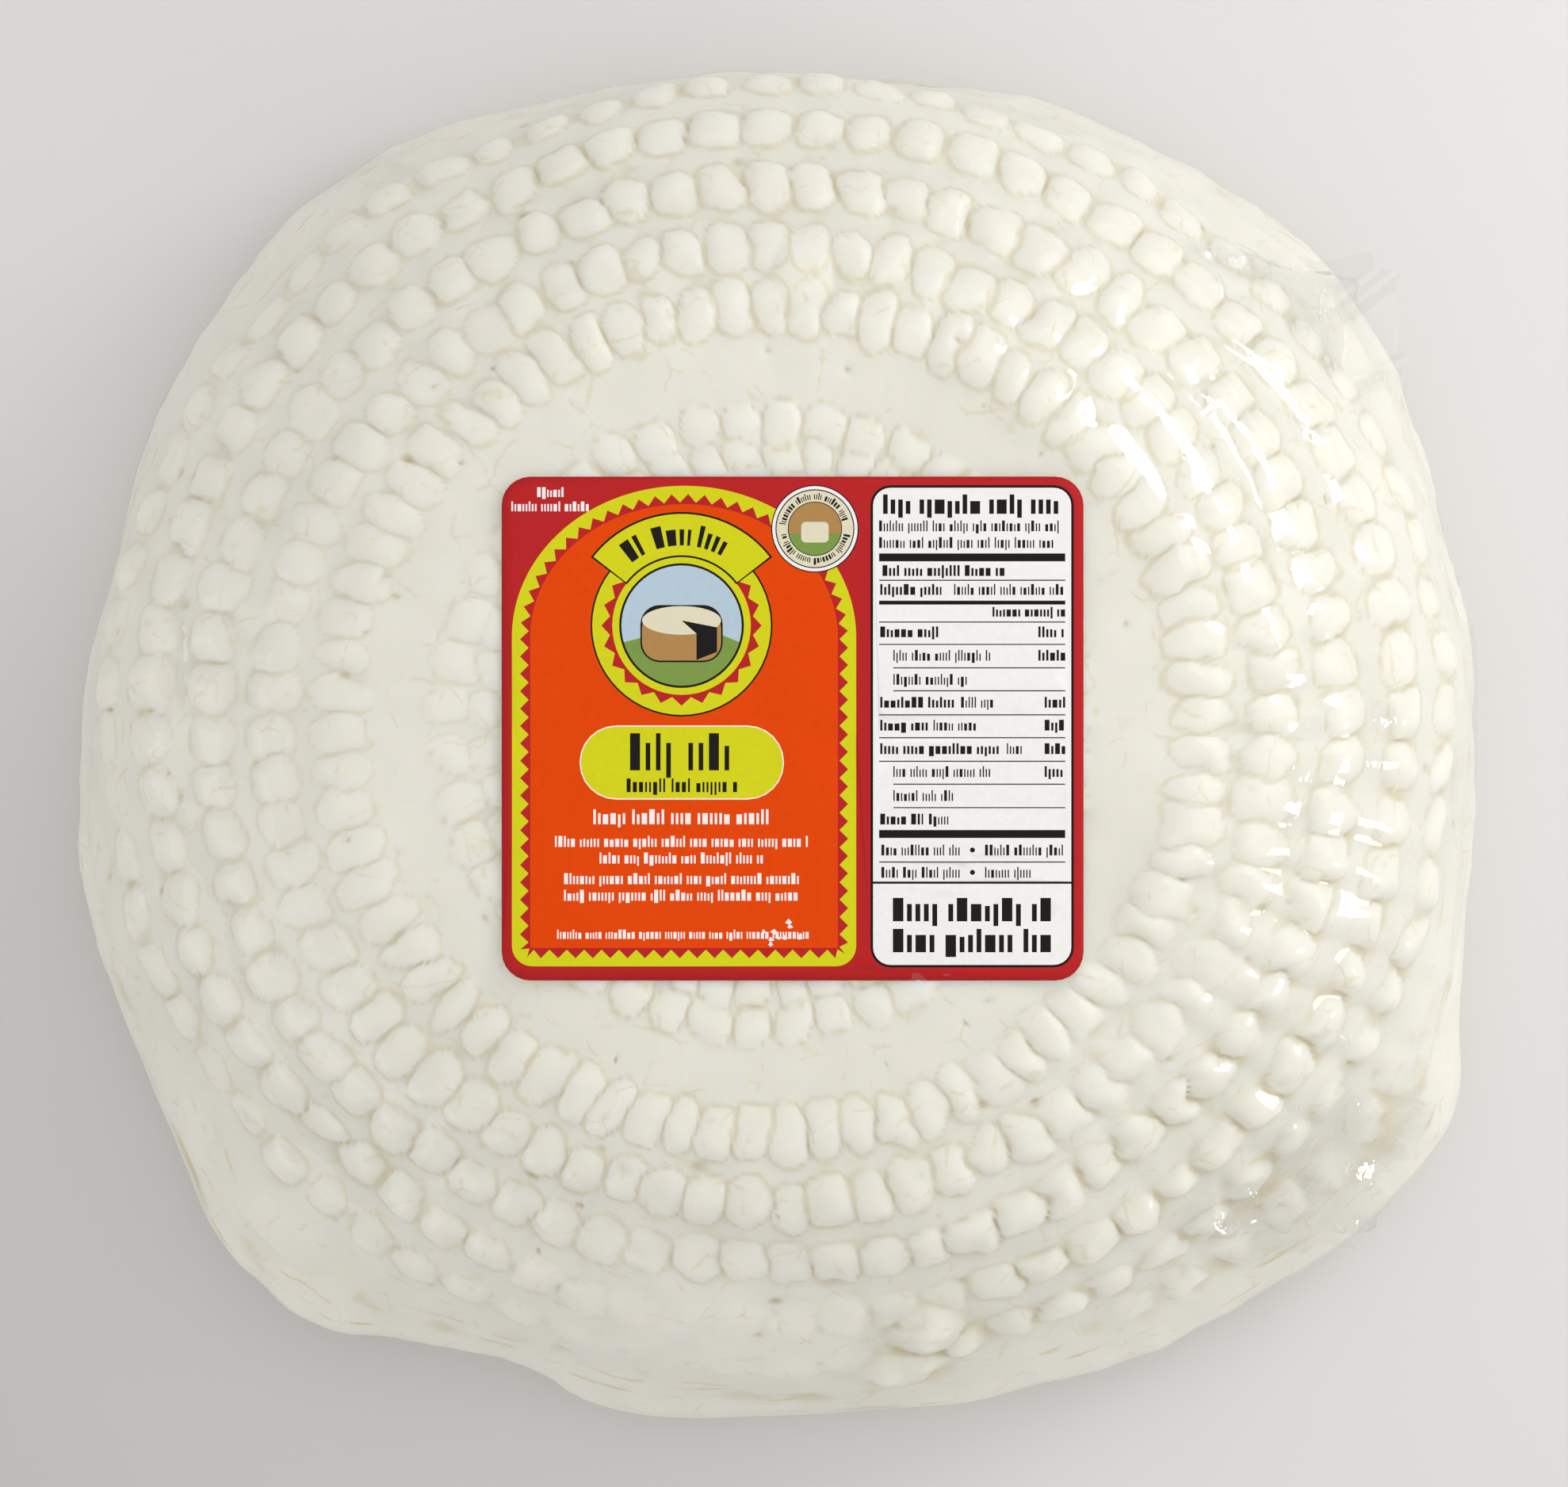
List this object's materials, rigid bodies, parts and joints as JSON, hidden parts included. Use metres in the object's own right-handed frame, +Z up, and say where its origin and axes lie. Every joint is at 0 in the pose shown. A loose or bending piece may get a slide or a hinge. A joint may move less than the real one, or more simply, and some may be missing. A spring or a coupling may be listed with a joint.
{
  "type": "vacuum-packed basket cheese wheel",
  "caption": "Round white fresh cheese wheel with basket-moulded rings of nubs, vacuum packed in clear film with a printed label on top; rests on its flat base.",
  "frame": {"origin": "middle of the flat base, on the surface that the pack stands on and below the middle of the rings of nubs", "axes": "+Z up out of the labelled top, +X to the label's right and to the side with the two large ears of the pouch, +Y to the label's top edge"},
  "size_m": [0.2598, 0.2523, 0.0807],
  "materials": {
    "cheese": null,
    "film": "clear glossy shrink film",
    "label": "semi-gloss coated label printed in red, orange, yellow, white and black"
  },
  "bodies": {
    "root": {"cheese_wheel": "cheese", "film_over": "film", "film_under": "film", "label": "label"}
  },
  "joints": []
}
